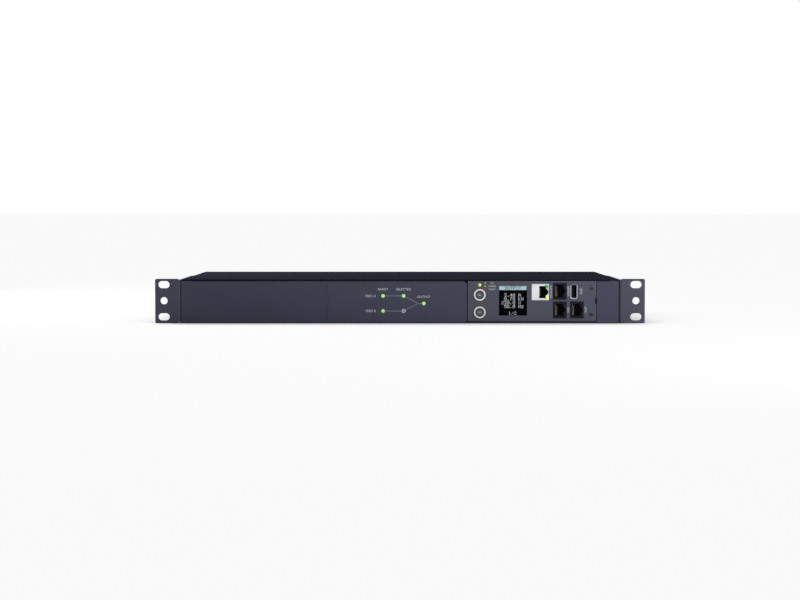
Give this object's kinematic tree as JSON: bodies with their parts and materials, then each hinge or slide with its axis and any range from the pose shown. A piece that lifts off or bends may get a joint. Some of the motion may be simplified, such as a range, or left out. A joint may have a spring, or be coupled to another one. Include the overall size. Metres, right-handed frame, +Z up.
{
  "type": "rack static transfer switch",
  "caption": "1U rack-mount static transfer switch with mounting ears, two-feed status mimic, slide-in control module with display and ports, and rear inlets and outlets.",
  "frame": {"origin": "middle of the case's underside", "axes": "+X to the right seen from the front, -Y out of the front panel, +Z up"},
  "size_m": [0.4826, 0.2533, 0.0437],
  "materials": {
    "case_paint": "fine satin powder coat",
    "panel_paint": "fine satin powder coat",
    "ear_paint": "fine satin powder coat",
    "dark_screw": "black zinc",
    "overlay_film": "matt printed film",
    "white_print": "screen print",
    "green_light": "lit light pipe",
    "unlit_light": "unlit light pipe",
    "circuit_board": "solder mask",
    "module_paint": "fine satin powder coat",
    "button_plastic": "fine moulded texture",
    "button_ring_plastic": "two-shot moulding",
    "guide_plastic": "moulded",
    "status_lens": "lit light pipe",
    "display_glass": "polished window",
    "display_back": "display cell",
    "white_plastic": "moulded",
    "port_shield": "nickel plated shell",
    "jack_plastic": "glass filled nylon",
    "lens_green": "clear tinted lens",
    "lens_yellow": "clear tinted lens",
    "gold_contact": "gold flash",
    "socket_plastic": "glass filled nylon",
    "pin_metal": "nickel plated brass",
    "nickel_nut": "nickel plate",
    "reset_plastic": "moulded",
    "earth_brass": "turned brass",
    "insulator": "polyester sheet",
    "thyristor_epoxy": "moulded epoxy",
    "sink_aluminium": "extruded, plain",
    "relay_plastic": "moulded cover",
    "sensor_plastic": "moulded",
    "transformer_core": "varnished laminations",
    "wire_jacket": "PVC jacket"
  },
  "bodies": {
    "case": {"chassis_tray": "case_paint", "top_cover": "case_paint", "rear_panel": "case_paint", "module_bracket": "case_paint", "module_tray": "case_paint", "front_panel": "panel_paint", "front_end_panel": "panel_paint", "left_ear": "ear_paint", "right_ear": "ear_paint", "ear_screws": "dark_screw", "cover_screws": "dark_screw", "module_screws": "dark_screw", "mimic_overlay": "overlay_film", "mimic_lines": "white_print", "mimic_lights_on": "green_light", "mimic_light_off": "unlit_light", "mimic_board": "circuit_board", "module_board": "circuit_board", "power_board": "circuit_board", "control_board": "circuit_board", "module_faceplate": "module_paint", "button_guides": "guide_plastic", "button_switches": "guide_plastic", "status_light": "status_lens", "display_window": "display_glass", "display_panel": "display_back", "display_holder": "white_plastic", "network_shield": "port_shield", "usb_shell": "port_shield", "usb_tongue": "jack_plastic", "network_insert": "jack_plastic", "sensor_jack": "jack_plastic", "serial_jack": "jack_plastic", "link_jack": "jack_plastic", "network_light_green": "lens_green", "network_light_yellow": "lens_yellow", "jack_contacts": "gold_contact", "inlet_a": "socket_plastic", "inlet_b": "socket_plastic", "large_outlet": "socket_plastic", "outlet_bank_a": "socket_plastic", "outlet_bank_b": "socket_plastic", "breaker_bodies": "socket_plastic", "inlet_pins": "pin_metal", "breaker_nuts": "nickel_nut", "earth_stud": "earth_brass", "standoffs": "earth_brass", "insulation_sheet": "insulator", "thyristor_modules": "thyristor_epoxy", "heat_sink": "sink_aluminium", "bypass_relays": "relay_plastic", "current_sensors": "sensor_plastic", "supply_transformers": "transformer_core", "wiring": "wire_jacket"},
    "select_key": {"select_button": "button_plastic", "select_ring": "button_ring_plastic"},
    "enter_key": {"enter_button": "button_plastic", "enter_ring": "button_ring_plastic"},
    "reset_a": {"reset_button_a": "reset_plastic"},
    "reset_b": {"reset_button_b": "reset_plastic"}
  },
  "joints": [
    {"name": "select_press", "type": "slide", "parent": "case", "child": "select_key", "axis": [0, 1, 0], "range_m": [0, 0.0005], "stiffness_N_per_m": 1500},
    {"name": "enter_press", "type": "slide", "parent": "case", "child": "enter_key", "axis": [0, 1, 0], "range_m": [0, 0.0005], "stiffness_N_per_m": 1500},
    {"name": "reset_a_trip", "type": "slide", "parent": "case", "child": "reset_a", "axis": [0, 1, 0], "range_m": [0, 0.004]},
    {"name": "reset_b_trip", "type": "slide", "parent": "case", "child": "reset_b", "axis": [0, 1, 0], "range_m": [0, 0.004]}
  ]
}
